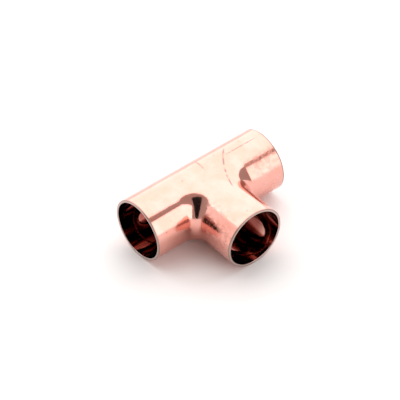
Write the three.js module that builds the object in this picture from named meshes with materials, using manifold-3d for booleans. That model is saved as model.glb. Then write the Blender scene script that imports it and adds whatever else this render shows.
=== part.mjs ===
// Equal tee for 22 mm tube: a plain end-feed fitting, bulge-formed from one length of
// copper tube. The run lies along X, the branch points along -Y and +Z is up. The
// fitting lies on its side on the plane z = 0, with the run and branch centre lines level.
// Units are millimetres.

import * as THREE from 'three';
import { ParametricGeometry } from 'three/addons/geometries/ParametricGeometry.js';
import { mergeGeometries, mergeVertices } from 'three/addons/utils/BufferGeometryUtils.js';
import Module from 'manifold-3d';

const wasm = await Module();
wasm.setup();

// Driving dimensions.
const OUTER_RADIUS = 12;
const SOCKET_RADIUS = 11.05;
const WATERWAY_RADIUS = 10.4;
const SOCKET_DEPTH = 15.5;
const RUN_LENGTH = 58.4;
const BRANCH_REACH = 29.8;
const CROTCH_RADIUS = 3;
const INNER_CROTCH_RADIUS = 2.8;

// Worked out from them. Every stop is SOCKET_DEPTH inside its mouth.
const RUN_HALF = RUN_LENGTH / 2;
const RUN_STOP = RUN_HALF - SOCKET_DEPTH;
const BRANCH_STOP = BRANCH_REACH - SOCKET_DEPTH;
const OUTER_BEND = OUTER_RADIUS + CROTCH_RADIUS;
const INNER_BEND = WATERWAY_RADIUS + INNER_CROTCH_RADIUS;
const CENTRE_LINE_HEIGHT = OUTER_RADIUS;
const CENTRE_LINE_Y = (BRANCH_REACH - OUTER_RADIUS) / 2;

// How finely the round surfaces are cut into flats.
const AROUND = 64;
const ALONG_BEND = 10;

// How far a cutting tool runs past the face it cuts through.
const OVERRUN = 2;

const QUARTER = Math.PI / 2;

// A patch of surface through a grid of points. pointAt takes whole steps along and up,
// and returns a point. turned swaps which side of the patch faces out.
function patch(along, up, turned, pointAt) {
  const surface = (u, v, target) => {
    const i = Math.round(u * along);
    const j = Math.round(v * up);
    target.set(...pointAt(turned ? along - i : i, j));
  };
  return new ParametricGeometry(surface, along, up);
}

// Half the run's skin on the side away from the branch, with half of each end disc.
function backOfRun(radius, bend, runHalf) {
  const stations = [-runHalf, -runHalf, -bend, 0, bend, runHalf, runHalf];
  const last = stations.length - 1;
  return patch(last, AROUND / 2, true, (i, j) => {
    const angle = (2 * Math.PI * j) / AROUND - QUARTER;
    const onDisc = i === 0 || i === last;
    const y = onDisc ? 0 : radius * Math.cos(angle);
    return [stations[i], y, radius * Math.sin(angle)];
  });
}

// The front of one half of the run, the rounded crotch and that side of the branch, as
// one sheet. At every height it follows the run, turns through a quarter circle centred
// on the crotch's own centre, and follows the branch out. side is +1 or -1.
function shoulder(radius, bend, runHalf, branchReach, side) {
  const last = ALONG_BEND + 4;
  return patch(last, AROUND / 2, side > 0, (i, j) => {
    const angle = (2 * Math.PI * j) / AROUND - QUARTER;
    const halfWidth = radius * Math.cos(angle);
    const z = radius * Math.sin(angle);
    const turn = ((i - 2) / ALONG_BEND) * QUARTER;
    const reach = bend - halfWidth;
    const route = {
      0: [runHalf, 0],
      1: [runHalf, -halfWidth],
      [last - 1]: [halfWidth, -branchReach],
      [last]: [0, -branchReach],
    };
    const onBend = [bend - reach * Math.sin(turn), -bend + reach * Math.cos(turn)];
    const [x, y] = route[i] ?? onBend;
    return [side * x, y, z];
  });
}

// The level crown over the junction, or the one under it, between the crest lines of
// the run and of the two shoulders. face is +1 on top and -1 below.
function crown(radius, bend, face) {
  return patch(2, ALONG_BEND, face > 0, (i, j) => {
    const turn = (j / ALONG_BEND) * QUARTER;
    const halfWidth = bend - bend * Math.sin(turn);
    return [(i - 1) * halfWidth, -bend + bend * Math.cos(turn), face * radius];
  });
}

// Drops the triangles that have shrunk to a line where a patch narrows to a point.
function withoutSlits(geometry) {
  const kept = [];
  const index = geometry.index.array;
  for (let k = 0; k < index.length; k += 3) {
    const corners = [index[k], index[k + 1], index[k + 2]];
    if (new Set(corners).size === 3) kept.push(...corners);
  }
  geometry.setIndex(kept);
  return geometry;
}

function solidFrom(geometry) {
  const bare = geometry.clone();
  bare.deleteAttribute('normal');
  bare.deleteAttribute('uv');
  const welded = withoutSlits(mergeVertices(bare, 1e-3));
  return new wasm.Manifold(new wasm.Mesh({
    numProp: 3,
    vertProperties: new Float32Array(welded.attributes.position.array),
    triVerts: new Uint32Array(welded.index.array),
  }));
}

function geometryFrom(solid) {
  const mesh = solid.getMesh();
  const geometry = new THREE.BufferGeometry();
  geometry.setAttribute('position', new THREE.BufferAttribute(mesh.vertProperties, 3));
  geometry.setIndex(new THREE.BufferAttribute(mesh.triVerts, 1));
  const faceted = geometry.toNonIndexed();
  faceted.computeVertexNormals();
  return faceted;
}

// The closed tee shape at one radius. The skin and the waterway are both this shape.
function teeForm(radius, bend, runHalf, branchReach) {
  return solidFrom(mergeGeometries([
    backOfRun(radius, bend, runHalf),
    shoulder(radius, bend, runHalf, branchReach, 1),
    shoulder(radius, bend, runHalf, branchReach, -1),
    crown(radius, bend, 1),
    crown(radius, bend, -1),
  ]));
}

// The bore of one socket, from its tube stop out past its mouth, made along +Y.
function socketBore(stop, mouth) {
  const length = mouth + OVERRUN - stop;
  const bore = new THREE.CylinderGeometry(SOCKET_RADIUS, SOCKET_RADIUS, length, AROUND);
  bore.translate(0, stop + length / 2, 0);
  return bore;
}

function teeBody() {
  const skin = teeForm(OUTER_RADIUS, OUTER_BEND, RUN_HALF, BRANCH_REACH);
  const waterway = teeForm(
    WATERWAY_RADIUS,
    INNER_BEND,
    RUN_STOP + OVERRUN,
    BRANCH_STOP + OVERRUN,
  );
  const left = solidFrom(socketBore(RUN_STOP, RUN_HALF).rotateZ(QUARTER));
  const right = solidFrom(socketBore(RUN_STOP, RUN_HALF).rotateZ(-QUARTER));
  const branch = solidFrom(socketBore(BRANCH_STOP, BRANCH_REACH).rotateZ(Math.PI));
  return skin.subtract(waterway.add(left).add(right).add(branch));
}

const copper = new THREE.MeshStandardMaterial({
  color: 0xd98e74,
  roughness: 0.18,
  metalness: 1,
});

const body = new THREE.Mesh(geometryFrom(teeBody()), copper);
body.name = 'tee_body';
body.position.set(0, CENTRE_LINE_Y, CENTRE_LINE_HEIGHT);

const tee = new THREE.Group();
tee.add(body);

export default tee;
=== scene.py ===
import math

import bmesh
import bpy
from mathutils import Matrix, Vector, noise


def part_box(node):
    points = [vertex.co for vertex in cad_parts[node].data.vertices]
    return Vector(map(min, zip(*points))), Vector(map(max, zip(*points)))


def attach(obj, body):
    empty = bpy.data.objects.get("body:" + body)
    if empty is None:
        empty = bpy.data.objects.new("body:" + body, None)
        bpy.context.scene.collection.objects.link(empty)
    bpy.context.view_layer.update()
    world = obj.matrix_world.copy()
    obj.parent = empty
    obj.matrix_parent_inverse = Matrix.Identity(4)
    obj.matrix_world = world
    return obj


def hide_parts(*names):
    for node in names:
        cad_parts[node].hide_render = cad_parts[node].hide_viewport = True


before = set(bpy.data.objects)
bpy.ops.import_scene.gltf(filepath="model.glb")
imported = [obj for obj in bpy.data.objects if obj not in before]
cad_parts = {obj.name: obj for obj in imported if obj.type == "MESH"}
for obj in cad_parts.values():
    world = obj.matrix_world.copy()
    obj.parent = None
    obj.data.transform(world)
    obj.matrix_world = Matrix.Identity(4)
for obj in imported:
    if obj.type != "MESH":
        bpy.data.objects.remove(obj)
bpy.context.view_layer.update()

# ---------------------------------------------------------------------------
# Sizes, in millimetres. The outside comes from the frame, the inside from the
# 22 mm tube that the sockets take.
# ---------------------------------------------------------------------------

MM = 0.001

low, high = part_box("tee_body")
OUTER_RADIUS = (high.z - low.z) / 2 / MM
RUN_HALF = (high.x - low.x) / 2 / MM
BRANCH_REACH = (high.y - low.y) / MM - OUTER_RADIUS
CENTRE = Vector(((low.x + high.x) / 2, high.y - OUTER_RADIUS * MM, (low.z + high.z) / 2))

SOCKET_RADIUS = 11.05
WATERWAY_RADIUS = 10.4
SOCKET_DEPTH = 15.5
OUTER_BEND = OUTER_RADIUS + 3.0
INNER_BEND = WATERWAY_RADIUS + 2.8
LIP_ROUND = 0.25
EDGE_BAND = 0.3
MOUTH_ROUND = 0.2
STOP_ROUND = 0.12

# How close a finely cut ring stands to each sharp corner of a bore, to keep it crisp.
CORNER_HOLD = 0.08

# How far the skin strays from true, and over what length.
WAVE_HEIGHT = 0.035
WAVE_LENGTH = 11.0
WAVE_SEED = 22
WAVE_START = Vector((3.1, 7.7, 1.9))

SKIN, EDGE, LIP, BORE = 0, 1, 2, 3


# ---------------------------------------------------------------------------
# The body's mesh
# ---------------------------------------------------------------------------

def stations(*stretches):
    """Values along a line from (start, end, step) stretches that follow each other."""
    values = [stretches[0][0]]
    for start, end, step in stretches:
        count = max(1, round(abs(end - start) / step))
        values += [start + (end - start) * k / count for k in range(1, count + 1)]
    return values


# Heights round the tube, from the bottom crest to the top one.
ANGLES = [math.radians(a) for a in stations((-90, 90, 2.0))]

# The full circle made of the same heights: out along one side and back along the other.
CIRCLE = [(math.cos(a), math.sin(a)) for a in ANGLES]
CIRCLE += [(-c, s) for c, s in reversed(CIRCLE[1:-1])]


def add_sheet(bm, rows, finish, closed=False):
    """Quads through a grid of points, given row by row."""
    verts = [[bm.verts.new(p) for p in row] for row in rows]
    for near, far in zip(verts, verts[1:]):
        count = len(near)
        for k in range(count if closed else count - 1):
            after = (k + 1) % count
            face = bm.faces.new((near[k], near[after], far[after], far[k]))
            face.material_index = finish
            face.smooth = True


def shoulder(radius, bend, run, turns, branch, side):
    """The front of one half of the run, its rounded crotch and that side of the branch.
    run and branch are stations along each straight part, and turns the angles between."""
    columns = []
    for x in run:
        columns.append([(side * x, -radius * math.cos(a), radius * math.sin(a)) for a in ANGLES])
    for turn in turns[1:-1]:
        column = []
        for a in ANGLES:
            reach = bend - radius * math.cos(a)
            x = bend - reach * math.sin(turn)
            y = -bend + reach * math.cos(turn)
            column.append((side * x, y, radius * math.sin(a)))
        columns.append(column)
    for y in branch:
        columns.append([(side * radius * math.cos(a), -y, radius * math.sin(a)) for a in ANGLES])
    return columns


def back_of_run(radius, run_stations):
    return [
        [(x, radius * math.cos(a), radius * math.sin(a)) for a in ANGLES]
        for x in run_stations
    ]


def crown(radius, bend, turns, across, face):
    """The level patch between the crests of the run, the branch and the two bends."""
    rows = []
    for turn in turns:
        half = bend - bend * math.sin(turn)
        y = -bend + bend * math.cos(turn)
        rows.append([(half * (2 * k / across - 1), y, face * radius) for k in range(across + 1)])
    return rows


def tee_form(bm, radius, bend, run, turns, branch, across, finish):
    """The whole tee shape at one radius, left open at its three ends."""
    middle = [bend * (2 * k / across - 1) for k in range(across + 1)]
    along = [-x for x in run[:-1]] + middle + list(reversed(run[:-1]))
    add_sheet(bm, back_of_run(radius, along), finish)
    for side in (1, -1):
        add_sheet(bm, shoulder(radius, bend, run, turns, branch, side), finish)
        add_sheet(bm, crown(radius, bend, turns, across, side), finish)


def quarter_round(centre, size, start, end, count=5):
    """Points of a small rounded edge, as (distance along the axis, radius)."""
    points = []
    for k in range(count + 1):
        a = math.radians(start + (end - start) * k / count)
        points.append((centre[0] + size * math.cos(a), centre[1] + size * math.sin(a)))
    return points


def mouth_profiles(mouth, stop):
    """The socket's section from the outside round to the waterway, split by finish."""
    outer = [(mouth - LIP_ROUND - EDGE_BAND, OUTER_RADIUS)]
    outer += quarter_round((mouth - LIP_ROUND, OUTER_RADIUS - LIP_ROUND), LIP_ROUND, 90, 0)
    inner = quarter_round((mouth - MOUTH_ROUND, SOCKET_RADIUS + MOUTH_ROUND), MOUTH_ROUND, 0, -90)
    face = [(mouth, OUTER_RADIUS - LIP_ROUND - CORNER_HOLD), (mouth, inner[0][1] + CORNER_HOLD)]
    lip = [outer[-1]] + face + inner
    start = mouth - MOUTH_ROUND - CORNER_HOLD
    bore = [inner[-1]] + [(a, SOCKET_RADIUS) for a in stations((start, stop + CORNER_HOLD, 1.0))]
    bore += [(stop, SOCKET_RADIUS), (stop, SOCKET_RADIUS - CORNER_HOLD)]
    bore += [(stop, WATERWAY_RADIUS + STOP_ROUND + CORNER_HOLD / 2)]
    bore += quarter_round((stop - STOP_ROUND, WATERWAY_RADIUS + STOP_ROUND), STOP_ROUND, 0, -90, 3)
    return outer, lip, bore


def add_mouth(bm, outward, mouth, stop):
    """One socket end: its rounded lip, its bore and the shoulder that stops the tube."""
    across = Vector((-outward.y, outward.x, 0))
    for section, finish in zip(mouth_profiles(mouth, stop), (EDGE, LIP, BORE)):
        rows = []
        for along, radius in section:
            centre = outward * along
            rows.append([centre + across * (radius * c) + Vector((0, 0, radius * s)) for c, s in CIRCLE])
        add_sheet(bm, rows, finish, closed=True)


def body_mesh():
    bm = bmesh.new()
    quarter = math.pi / 2
    skin_turns = stations((0, quarter, quarter / 36))
    inner_turns = stations((0, quarter, quarter / 14))
    stop_run = RUN_HALF - SOCKET_DEPTH
    stop_branch = BRANCH_REACH - SOCKET_DEPTH
    skin_run = RUN_HALF - LIP_ROUND - EDGE_BAND
    skin_branch = BRANCH_REACH - LIP_ROUND - EDGE_BAND
    tee_form(
        bm, OUTER_RADIUS, OUTER_BEND,
        stations((skin_run, OUTER_BEND, 0.5)),
        skin_turns,
        stations((OUTER_BEND, skin_branch, 0.5)),
        48, SKIN,
    )
    tee_form(
        bm, WATERWAY_RADIUS, INNER_BEND,
        stations((stop_run - STOP_ROUND, INNER_BEND, 0.4)),
        inner_turns,
        stations((INNER_BEND, stop_branch - STOP_ROUND, 0.5)),
        20, BORE,
    )
    add_mouth(bm, Vector((1, 0, 0)), RUN_HALF, stop_run)
    add_mouth(bm, Vector((-1, 0, 0)), RUN_HALF, stop_run)
    add_mouth(bm, Vector((0, -1, 0)), BRANCH_REACH, stop_branch)
    bmesh.ops.remove_doubles(bm, verts=bm.verts, dist=1e-3)
    bmesh.ops.dissolve_degenerate(bm, edges=bm.edges, dist=1e-5)
    bmesh.ops.recalc_face_normals(bm, faces=bm.faces)
    open_edges = sum(1 for e in bm.edges if not e.is_manifold)
    print("body faces", len(bm.faces), "open edges", open_edges)
    return bm


def age_surface(bm):
    """Moves the true form a little, so that it isn't machine-perfect. Both walls move
    together, so the wall keeps its thickness."""
    noise.seed_set(WAVE_SEED)
    for v in bm.verts:
        v.co += noise.noise_vector(v.co / WAVE_LENGTH + WAVE_START) * WAVE_HEIGHT


def build_body():
    bm = body_mesh()
    age_surface(bm)
    mesh = bpy.data.meshes.new("tee_shell")
    bm.to_mesh(mesh)
    bm.free()
    mesh.transform(Matrix.Translation(CENTRE) @ Matrix.Scale(MM, 4))
    body = bpy.data.objects.new("tee_shell", mesh)
    bpy.context.scene.collection.objects.link(body)
    return body


# ---------------------------------------------------------------------------
# Finishes
# ---------------------------------------------------------------------------

class Value:
    """An output socket. Arithmetic on values adds Math nodes to their tree."""

    def __init__(self, tree, socket):
        self.tree = tree
        self.socket = socket

    def maths(self, operation, first, second=0.5):
        settings = {"operation": operation}
        return self.tree.node("ShaderNodeMath", settings, {0: first, 1: second})

    def __add__(self, other):
        return self.maths("ADD", self, other)

    def __radd__(self, other):
        return self.maths("ADD", other, self)

    def __sub__(self, other):
        return self.maths("SUBTRACT", self, other)

    def __rsub__(self, other):
        return self.maths("SUBTRACT", other, self)

    def __mul__(self, other):
        return self.maths("MULTIPLY", self, other)

    def __rmul__(self, other):
        return self.maths("MULTIPLY", other, self)

    def __abs__(self):
        return self.maths("ABSOLUTE", self)


class Finish:
    """A material being built, node by node."""

    def __init__(self, name):
        self.material = bpy.data.materials.new(name)
        self.material.use_nodes = True
        self.links = self.material.node_tree.links
        self.nodes = self.material.node_tree.nodes
        self.nodes.clear()

    def node(self, kind, settings=None, inputs=None, output=0):
        made = self.nodes.new(kind)
        for name, value in (settings or {}).items():
            setattr(made, name, value)
        for name, value in (inputs or {}).items():
            if isinstance(value, Value):
                self.links.new(value.socket, made.inputs[name])
            else:
                made.inputs[name].default_value = value
        return Value(self, made.outputs[output]) if made.outputs else made

    def grain(self, place, scale, detail=2.0, roughness=0.5):
        """Cloudy noise between 0 and 1."""
        inputs = {"Vector": place, "Scale": scale, "Detail": detail, "Roughness": roughness}
        return self.node("ShaderNodeTexNoise", {}, inputs)

    def stretched(self, place, scale):
        inputs = {0: place, 1: scale}
        return self.node("ShaderNodeVectorMath", {"operation": "MULTIPLY"}, inputs)

    def step(self, value, start, end):
        """0 below start, 1 above end, smooth between."""
        settings = {"interpolation_type": "SMOOTHSTEP"}
        inputs = {"Value": value, "From Min": start, "From Max": end}
        return self.node("ShaderNodeMapRange", settings, inputs)

    def blend(self, factor, first, second):
        """A colour between two."""
        settings = {"data_type": "RGBA"}
        return self.node("ShaderNodeMix", settings, {0: factor, 6: first, 7: second}, 2)

    def blend_number(self, factor, first, second):
        return self.node("ShaderNodeMix", {"data_type": "FLOAT"}, {0: factor, 2: first, 3: second})

    def place(self):
        """The point on the piece, in millimetres from the junction of its axes."""
        point = self.node("ShaderNodeTexCoord", {}, {}, "Object")
        inputs = {0: point, 1: (1000, 1000, 1000), 2: tuple(-CENTRE / MM)}
        return self.node("ShaderNodeVectorMath", {"operation": "MULTIPLY_ADD"}, inputs)

    def along(self, place, axis):
        return self.node("ShaderNodeSeparateXYZ", {}, {0: place}, axis)

    def metal(self, colour, roughness, height, distance):
        """Bare metal with this colour, roughness and relief."""
        bump_inputs = {"Strength": 1.0, "Distance": distance * MM, "Height": height}
        normal = self.node("ShaderNodeBump", {}, bump_inputs)
        inputs = {"Base Color": colour, "Metallic": 1.0, "Roughness": roughness, "Normal": normal}
        shader = self.node("ShaderNodeBsdfPrincipled", {}, inputs)
        self.node("ShaderNodeOutputMaterial", {}, {"Surface": shader})
        return self.material


COPPER = (0.80, 0.37, 0.30, 1)
COPPER_PINK = (0.80, 0.42, 0.36, 1)
COPPER_BROWN = (0.50, 0.20, 0.13, 1)
# Grey of the painted reflection lines on top, and of the crease.
PAINTED_LINE_GREY = (0.22, 0.18, 0.17, 1)
SPECK_BROWN = (0.2, 0.12, 0.09, 1)

# The painted reflection line on top is an arc about this point, in millimetres from the junction.
REFLECTION_ARC_CENTRE = (39.5, -23.2, 0)
REFLECTION_ARC_RADIUS = 37.2


def drawn_lines(finish, place):
    """Fine lines along the run and, on the branch, along the branch."""
    on_branch = finish.step(finish.along(place, "Y"), -11.5, -14.0)
    along_run = finish.grain(finish.stretched(place, (0.06, 2.6, 2.6)), 1.0, 3.0)
    along_branch = finish.grain(finish.stretched(place, (2.6, 0.06, 2.6)), 1.0, 3.0)
    return finish.blend_number(on_branch, along_run, along_branch)


def reflection_lines_and_crease(finish, place):
    """A painted reflection line, curving between crown and bend and running on along the crest, and a
    short crease behind the branch.
    1 on a line, 0 off it."""
    x = finish.along(place, "X")
    y = finish.along(place, "Y")
    on_top = finish.step(finish.along(place, "Z"), 9.0, 11.0)
    flat = finish.stretched(place, (1, 1, 0))
    inputs = {0: flat, 1: REFLECTION_ARC_CENTRE}
    from_bend = finish.node("ShaderNodeVectorMath", {"operation": "DISTANCE"}, inputs, "Value")
    # Painted reflection line: a grey arc where the reflection turns from the run towards the branch.
    reflection_arc = finish.step(abs(from_bend - REFLECTION_ARC_RADIUS), 0.5, 0.12)
    reflection_arc = reflection_arc * finish.step(y, -14.5, -12.0) * finish.step(y, 4.5, 2.5)
    crease = finish.step(abs(x - 0.14 * y - 1.2), 0.4, 0.1)
    crease = crease * finish.step(y, -2.0, -0.5) * finish.step(y, 6.5, 4.5)
    # Painted reflection line: it runs on along the crest of the run.
    reflection_crest_line = finish.step(abs(y - 0.35), 0.36, 0.08)
    reflection_crest_line = reflection_crest_line * finish.step(x, 11.0, 13.5) * finish.step(x, 26.0, 24.5)
    # Noise breaks the painted lines up in places.
    broken_up = finish.step(finish.grain(place, 0.6, 2.0), 0.3, 0.55)
    return (reflection_arc + crease + reflection_crest_line) * on_top * broken_up


def specks(finish, place):
    """A few dark specks in the skin."""
    inputs = {"Vector": place, "Scale": 0.3}
    reach = finish.node("ShaderNodeTexVoronoi", {}, inputs)
    chance = finish.node("ShaderNodeTexVoronoi", {}, inputs, 1)
    return finish.step(reach, 0.11, 0.05) * finish.step(chance, 0.62, 0.66)


def bright_copper():
    """The bright outside."""
    finish = Finish("bright_copper")
    place = finish.place()
    x = finish.along(place, "X")
    y = finish.along(place, "Y")
    clouds = finish.grain(place, 0.14, 4.0, 0.55)
    mottle = finish.grain(place, 0.65, 3.0, 0.6)
    lines = drawn_lines(finish, place)
    marks_and_painted_lines = reflection_lines_and_crease(finish, place)
    dirt = specks(finish, place)
    on_run = finish.step(x, 13.0, 19.0) * finish.step(y, -2.0, -7.0)
    on_branch = finish.step(y, -11.0, -15.0) * finish.step(x, -2.0, -7.0)
    matt = (on_run + on_branch) * finish.step(mottle, 0.38, 0.6)
    colour = finish.blend(finish.step(clouds, 0.35, 0.65), COPPER, COPPER_PINK)
    colour = finish.blend(finish.step(mottle, 0.6, 0.8) * 0.35, colour, COPPER_BROWN)
    # Painted reflection lines, and the crease, in grey.
    colour = finish.blend(marks_and_painted_lines * 0.9, colour, PAINTED_LINE_GREY)
    colour = finish.blend(dirt * 0.85, colour, SPECK_BROWN)
    roughness = 0.09 + 0.05 * lines + 0.16 * matt
    relief = mottle + 0.35 * lines - 0.5 * marks_and_painted_lines - 0.4 * dirt
    return finish.metal(colour, roughness, relief, 0.016)


def dark_painted_edge_copper():
    """The outer edge of each mouth, painted darker as a dark reflection along its rounding."""
    finish = Finish("dark_painted_edge_copper")
    marks_and_painted_lines = finish.grain(finish.place(), 2.0, 3.0, 0.6)
    # Painted dark reflection: both colours are darker than the copper skin.
    colour = finish.blend(marks_and_painted_lines, (0.26, 0.15, 0.12, 1), (0.5, 0.34, 0.29, 1))
    return finish.metal(colour, 0.3 + 0.1 * marks_and_painted_lines, marks_and_painted_lines, 0.02)


def cut_copper():
    """The end faces of the mouths."""
    finish = Finish("cut_copper")
    marks_and_painted_lines = finish.grain(finish.place(), 3.0, 3.0, 0.6)
    colour = finish.blend(marks_and_painted_lines, (0.42, 0.31, 0.28, 1), (0.58, 0.45, 0.41, 1))
    return finish.metal(colour, 0.1 + 0.1 * marks_and_painted_lines, marks_and_painted_lines, 0.008)


def shaded_bore_copper():
    """The inside: bright near the mouths, and dark deeper in, where the dark is painted shade."""
    finish = Finish("shaded_bore_copper")
    place = finish.place()
    clouds = finish.grain(place, 0.25, 4.0, 0.6)
    streaks = finish.grain(place, 1.6, 3.0, 0.6)
    reach_run = finish.step(abs(finish.along(place, "X")), 20.0, 28.5)
    reach_branch = finish.step(finish.along(place, "Y"), -20.0, -29.0)
    near_mouth = finish.node("ShaderNodeMath", {"operation": "MAXIMUM"}, {0: reach_run, 1: reach_branch})
    # Painted shade: the bore colour is near-black deeper in.
    deep_painted_shade = finish.blend(clouds, (0.15, 0.04, 0.035, 1), (0.24, 0.07, 0.055, 1))
    bright_near_mouth = finish.blend(clouds, (0.78, 0.42, 0.34, 1), (0.85, 0.5, 0.42, 1))
    colour = finish.blend(near_mouth, deep_painted_shade, bright_near_mouth)
    return finish.metal(colour, 0.03 + 0.04 * streaks, clouds, 0.004)


# ---------------------------------------------------------------------------
# Studio: a pale floor, three even softboxes and one black flag
# ---------------------------------------------------------------------------

LIGHT_DISTANCE = 1.3
FLAG_DISTANCE = 1.2
FLOOR_HALF = 3.0
SQUARE = ((-1, -1), (1, -1), (1, 1), (-1, 1))

def heading(azimuth, elevation):
    """A direction from its compass angle, clockwise from +Y, and its height."""
    a, e = math.radians(azimuth), math.radians(elevation)
    return Vector((math.sin(a) * math.cos(e), math.cos(a) * math.cos(e), math.sin(e)))


def facing(direction, roll=0.0):
    """A turn that points local +Z along a direction, with local +X level before the roll."""
    back = direction.normalized()
    right = Vector((0, 0, 1)).cross(back).normalized()
    up = back.cross(right)
    turn = Matrix((right, up, back)).transposed()
    return (turn @ Matrix.Rotation(roll, 3, "Z")).to_4x4()


def softbox(name, azimuth, elevation, width, height, brightness):
    """An even rectangular light that faces the fitting."""
    light = bpy.data.lights.new(name, "AREA")
    light.shape = "RECTANGLE"
    light.size = width
    light.size_y = height
    light.energy = math.pi * brightness * width * height
    lamp = bpy.data.objects.new(name, light)
    direction = heading(azimuth, elevation)
    lamp.matrix_world = Matrix.Translation(CENTRE + direction * LIGHT_DISTANCE) @ facing(direction)
    bpy.context.scene.collection.objects.link(lamp)
    lamp.visible_camera = False


def black_flag(azimuth, elevation, width, height):
    """A plain black card that gives the bright metal something dark to reflect."""
    mesh = bpy.data.meshes.new("black_flag")
    corners = [(x * width / 2, y * height / 2, 0) for x, y in SQUARE]
    mesh.from_pydata(corners, [], [(0, 1, 2, 3)])
    finish = Finish("black_felt")
    shader = finish.node("ShaderNodeBsdfDiffuse", {}, {"Color": (0.01, 0.01, 0.01, 1)})
    finish.node("ShaderNodeOutputMaterial", {}, {"Surface": shader})
    mesh.materials.append(finish.material)
    card = bpy.data.objects.new("black_flag", mesh)
    direction = heading(azimuth, elevation)
    card.matrix_world = Matrix.Translation(CENTRE + direction * FLAG_DISTANCE) @ facing(direction)
    bpy.context.scene.collection.objects.link(card)
    card.visible_camera = False


def studio_floor():
    mesh = bpy.data.meshes.new("floor")
    corners = [(x * FLOOR_HALF, y * FLOOR_HALF, 0) for x, y in SQUARE]
    mesh.from_pydata(corners, [], [(0, 1, 2, 3)])
    floor = bpy.data.objects.new("floor", mesh)
    finish = Finish("pale_paper")
    inputs = {"Base Color": (0.9, 0.9, 0.9, 1), "Roughness": 0.9}
    shader = finish.node("ShaderNodeBsdfPrincipled", {}, inputs)
    finish.node("ShaderNodeOutputMaterial", {}, {"Surface": shader})
    mesh.materials.append(finish.material)
    bpy.context.scene.collection.objects.link(floor)


def studio_light():
    world = bpy.data.worlds.new("studio")
    world.use_nodes = True
    background = world.node_tree.nodes["Background"]
    background.inputs["Color"].default_value = (1.0, 0.86, 0.81, 1)
    background.inputs["Strength"].default_value = 0.5
    bpy.context.scene.world = world
    softbox("main_softbox", 34, 46, 3.6, 2.7, 1.75)
    softbox("front_softbox", 170, 24, 1.25, 1.15, 1.75)
    softbox("left_fill", 307, 21, 0.55, 0.95, 0.8)
    black_flag(234, 36, 0.7, 1.9)


def studio_camera():
    """Looks down over the left mouth, at the junction."""
    azimuth, elevation, roll = 180 + 38.8, 43.4, -1.1
    distance, view_width = 0.867, 0.1438
    centre_offset = (-0.00038, -0.0021)
    data = bpy.data.cameras.new("camera")
    data.sensor_width = 36
    data.lens = data.sensor_width * distance / view_width
    data.clip_start = 0.01
    camera = bpy.data.objects.new("camera", data)
    turn = facing(heading(azimuth, elevation), math.radians(roll))
    slide = turn.to_3x3() @ Vector((*centre_offset, distance))
    camera.matrix_world = Matrix.Translation(CENTRE + slide) @ turn
    bpy.context.scene.collection.objects.link(camera)
    bpy.context.scene.camera = camera


# ---------------------------------------------------------------------------
# Assembly
# ---------------------------------------------------------------------------

studio_camera()
studio_floor()
studio_light()
bpy.context.scene.view_settings.view_transform = "Standard"

tee = build_body()
for finish in (bright_copper(), dark_painted_edge_copper(), cut_copper(), shaded_bore_copper()):
    tee.data.materials.append(finish)
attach(tee, "root")
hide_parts("tee_body")
